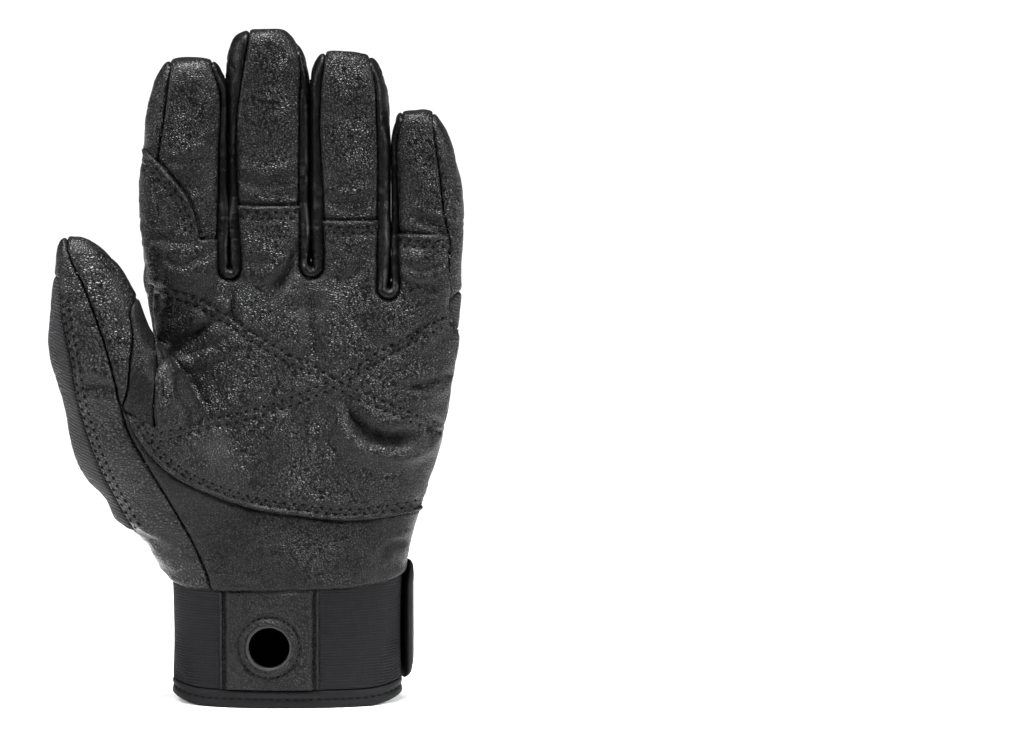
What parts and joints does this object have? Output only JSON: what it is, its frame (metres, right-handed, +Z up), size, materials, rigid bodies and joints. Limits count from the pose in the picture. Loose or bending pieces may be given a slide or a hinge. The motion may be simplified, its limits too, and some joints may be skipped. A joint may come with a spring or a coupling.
{
  "type": "climbing glove",
  "caption": "Leather climbing and belay glove for the left hand, full fingered, with a reinforced palm, an elastic cuff, a wrist strap and a carabiner hole in the cuff.",
  "frame": {"origin": "centre of the wrist opening, at the lower edge of its binding", "axes": "+Z runs up the fingers, -Y is the palm side, +Y the back of the hand, -X the thumb side"},
  "size_m": [0.15, 0.0645, 0.2454],
  "materials": {
    "palm_leather": "semi-matt full-grain leather with fine creases",
    "pebbled_leather": "pebbled leather with a soft sheen",
    "heel_leather": "fine smooth leather",
    "stretch_fabric": "matt stretch knit",
    "ribbed_elastic": "matt elastic with fine ribs across",
    "binding_tape": "smooth woven tape",
    "eyelet": "satin moulded rim",
    "hook_and_loop": "smooth matt strap"
  },
  "bodies": {
    "root": {"finger_index_front": "palm_leather", "finger_middle_front": "palm_leather", "finger_ring_front": "palm_leather", "finger_little_front": "palm_leather", "finger_index_back": "palm_leather", "finger_middle_back": "palm_leather", "finger_ring_back": "palm_leather", "finger_little_back": "palm_leather", "sidewall_index": "pebbled_leather", "fourchette_index_middle": "pebbled_leather", "fourchette_middle_ring": "pebbled_leather", "fourchette_ring_little": "pebbled_leather", "sidewall_little": "pebbled_leather", "thumb_outer_panel": "pebbled_leather", "thumb_inner_panel": "pebbled_leather", "thumb_gusset": "heel_leather", "palm_panel": "heel_leather", "palm_patch": "palm_leather", "thumb_back": "stretch_fabric", "back_panel": "stretch_fabric", "cuff_band": "ribbed_elastic", "cuff_tab": "heel_leather", "eyelet_ring": "eyelet", "hem_binding": "binding_tape", "wrist_strap": "hook_and_loop"}
  },
  "joints": []
}
